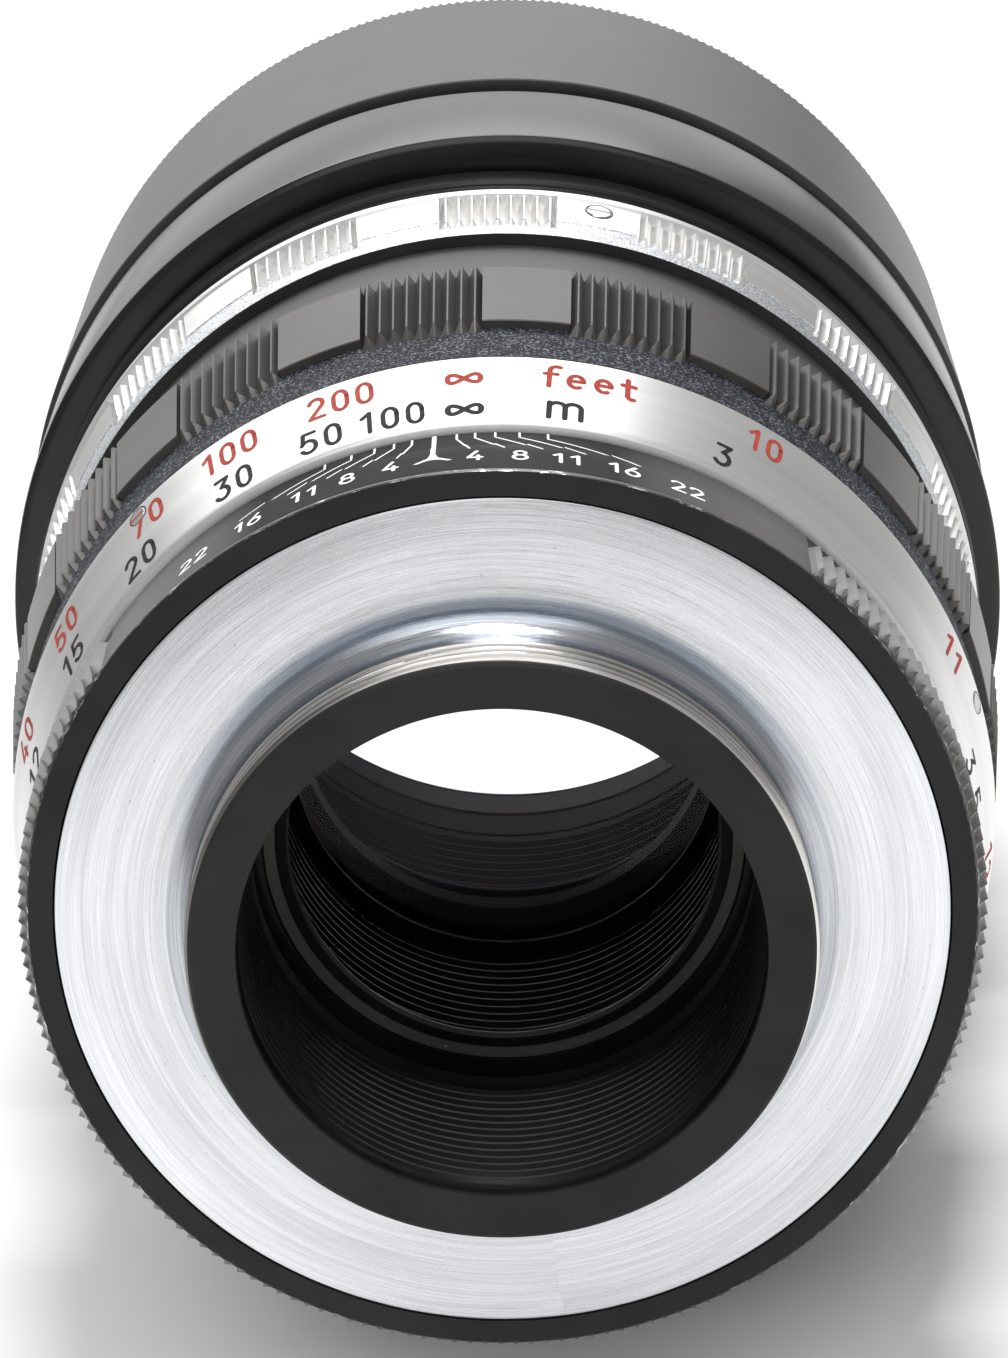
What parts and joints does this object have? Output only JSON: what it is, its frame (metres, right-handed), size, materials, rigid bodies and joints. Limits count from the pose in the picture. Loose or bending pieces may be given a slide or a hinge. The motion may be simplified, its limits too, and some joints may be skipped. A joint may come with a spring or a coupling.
{
  "type": "camera lens",
  "caption": "Telephoto prime lens with a screw mount, a turning focus ring that drives the barrel out, a preset ring and an iris that closes as its ring is turned.",
  "frame": {"origin": "on the optical axis, at the middle of the camera thread", "axes": "+Y along the optical axis towards the front glass, +Z towards the index mark, +X to the right seen from the camera"},
  "size_m": [0.0796, 0.1137, 0.0796],
  "materials": {
    "bare_aluminium": "fine turned, bright",
    "satin_silver": "satin anodised",
    "black_anodised": "satin black anodised",
    "matt_black": "dead matt black",
    "steel": "ground",
    "blade_steel": "blued",
    "brass": "turned",
    "optical_glass": "polished, coated"
  },
  "bodies": {
    "base": {"mount_flange": "bare_aluminium", "rear_baffle_tube": "matt_black", "depth_scale_ring": "black_anodised", "base_barrel": "black_anodised", "guide_keys": "steel", "focus_retaining_ring": "black_anodised", "focus_stop_pin": "steel"},
    "focus_ring": {"distance_scale_ring": "satin_silver", "scale_ring_set_screws": "steel", "focus_grip": "black_anodised", "helicoid_sleeve": "brass", "focus_stop_block": "steel"},
    "lens_barrel": {"barrel_tube": "black_anodised", "optical_tube": "black_anodised", "inner_baffle_tube": "matt_black", "rear_cell": "matt_black", "rear_retaining_ring": "matt_black", "rear_element": "optical_glass", "rear_inner_element": "optical_glass", "ring_spacer": "black_anodised", "iris_housing": "matt_black", "iris_pivot_pins": "steel", "iris_cover": "matt_black", "centre_tube": "matt_black", "front_barrel": "black_anodised", "front_tube": "black_anodised", "front_cell": "matt_black", "third_element": "optical_glass", "second_element": "optical_glass", "front_spacer": "matt_black", "front_element": "optical_glass", "front_retaining_ring": "matt_black", "name_ring": "black_anodised", "preset_click_ball": "steel"},
    "aperture_ring": {"aperture_ring": "satin_silver", "aperture_ring_screws": "steel", "iris_actuator": "black_anodised", "iris_drive_pin": "steel"},
    "preset_ring": {"preset_ring": "black_anodised"},
    "iris_blade_1": {"iris_blade_1": "blade_steel"},
    "iris_blade_2": {"iris_blade_2": "blade_steel"},
    "iris_blade_3": {"iris_blade_3": "blade_steel"},
    "iris_blade_4": {"iris_blade_4": "blade_steel"},
    "iris_blade_5": {"iris_blade_5": "blade_steel"},
    "iris_blade_6": {"iris_blade_6": "blade_steel"},
    "iris_blade_7": {"iris_blade_7": "blade_steel"},
    "iris_blade_8": {"iris_blade_8": "blade_steel"},
    "iris_blade_9": {"iris_blade_9": "blade_steel"},
    "iris_blade_10": {"iris_blade_10": "blade_steel"},
    "iris_blade_11": {"iris_blade_11": "blade_steel"},
    "iris_blade_12": {"iris_blade_12": "blade_steel"}
  },
  "joints": [
    {"name": "focus_turn", "type": "hinge", "parent": "base", "child": "focus_ring", "pos_m": [0, 0.0233, 0], "axis": [0, 1, 0], "range_deg": [-3.6, 323.4]},
    {"name": "focus_travel", "type": "slide", "parent": "base", "child": "lens_barrel", "axis": [0, 1, 0], "range_m": [-0.00017, 0.01523]},
    {"name": "aperture_turn", "type": "hinge", "parent": "lens_barrel", "child": "aperture_ring", "pos_m": [0, 0.0533, 0], "axis": [0, -1, 0], "range_deg": [0, 24]},
    {"name": "preset_turn", "type": "hinge", "parent": "lens_barrel", "child": "preset_ring", "pos_m": [0, 0.0593, 0], "axis": [0, 1, 0], "range_deg": [0, 24]},
    {"name": "blade_1_pivot", "type": "hinge", "parent": "lens_barrel", "child": "iris_blade_1", "pos_m": [0.0286, 0.0496, 0], "axis": [0, 1, 0], "range_deg": [0, 31]},
    {"name": "blade_2_pivot", "type": "hinge", "parent": "lens_barrel", "child": "iris_blade_2", "pos_m": [0.02477, 0.04982, -0.0143], "axis": [0, 1, 0], "range_deg": [0, 31]},
    {"name": "blade_3_pivot", "type": "hinge", "parent": "lens_barrel", "child": "iris_blade_3", "pos_m": [0.0143, 0.05004, -0.02477], "axis": [0, 1, 0], "range_deg": [0, 31]},
    {"name": "blade_4_pivot", "type": "hinge", "parent": "lens_barrel", "child": "iris_blade_4", "pos_m": [0, 0.05026, -0.0286], "axis": [0, 1, 0], "range_deg": [0, 31]},
    {"name": "blade_5_pivot", "type": "hinge", "parent": "lens_barrel", "child": "iris_blade_5", "pos_m": [-0.0143, 0.05048, -0.02477], "axis": [0, 1, 0], "range_deg": [0, 31]},
    {"name": "blade_6_pivot", "type": "hinge", "parent": "lens_barrel", "child": "iris_blade_6", "pos_m": [-0.02477, 0.0507, -0.0143], "axis": [0, 1, 0], "range_deg": [0, 31]},
    {"name": "blade_7_pivot", "type": "hinge", "parent": "lens_barrel", "child": "iris_blade_7", "pos_m": [-0.0286, 0.05092, 0], "axis": [0, 1, 0], "range_deg": [0, 31]},
    {"name": "blade_8_pivot", "type": "hinge", "parent": "lens_barrel", "child": "iris_blade_8", "pos_m": [-0.02477, 0.05114, 0.0143], "axis": [0, 1, 0], "range_deg": [0, 31]},
    {"name": "blade_9_pivot", "type": "hinge", "parent": "lens_barrel", "child": "iris_blade_9", "pos_m": [-0.0143, 0.05136, 0.02477], "axis": [0, 1, 0], "range_deg": [0, 31]},
    {"name": "blade_10_pivot", "type": "hinge", "parent": "lens_barrel", "child": "iris_blade_10", "pos_m": [0, 0.05158, 0.0286], "axis": [0, 1, 0], "range_deg": [0, 31]},
    {"name": "blade_11_pivot", "type": "hinge", "parent": "lens_barrel", "child": "iris_blade_11", "pos_m": [0.0143, 0.0518, 0.02477], "axis": [0, 1, 0], "range_deg": [0, 31]},
    {"name": "blade_12_pivot", "type": "hinge", "parent": "lens_barrel", "child": "iris_blade_12", "pos_m": [0.02477, 0.05202, 0.0143], "axis": [0, 1, 0], "range_deg": [0, 31]}
  ],
  "couplings": [
    {"joint": "focus_travel", "follows": "focus_turn", "m_per_rad": 0.002698},
    {"joint": "blade_1_pivot", "follows": "aperture_turn", "ratio": 1.2917},
    {"joint": "blade_2_pivot", "follows": "aperture_turn", "ratio": 1.2917},
    {"joint": "blade_3_pivot", "follows": "aperture_turn", "ratio": 1.2917},
    {"joint": "blade_4_pivot", "follows": "aperture_turn", "ratio": 1.2917},
    {"joint": "blade_5_pivot", "follows": "aperture_turn", "ratio": 1.2917},
    {"joint": "blade_6_pivot", "follows": "aperture_turn", "ratio": 1.2917},
    {"joint": "blade_7_pivot", "follows": "aperture_turn", "ratio": 1.2917},
    {"joint": "blade_8_pivot", "follows": "aperture_turn", "ratio": 1.2917},
    {"joint": "blade_9_pivot", "follows": "aperture_turn", "ratio": 1.2917},
    {"joint": "blade_10_pivot", "follows": "aperture_turn", "ratio": 1.2917},
    {"joint": "blade_11_pivot", "follows": "aperture_turn", "ratio": 1.2917},
    {"joint": "blade_12_pivot", "follows": "aperture_turn", "ratio": 1.2917}
  ]
}
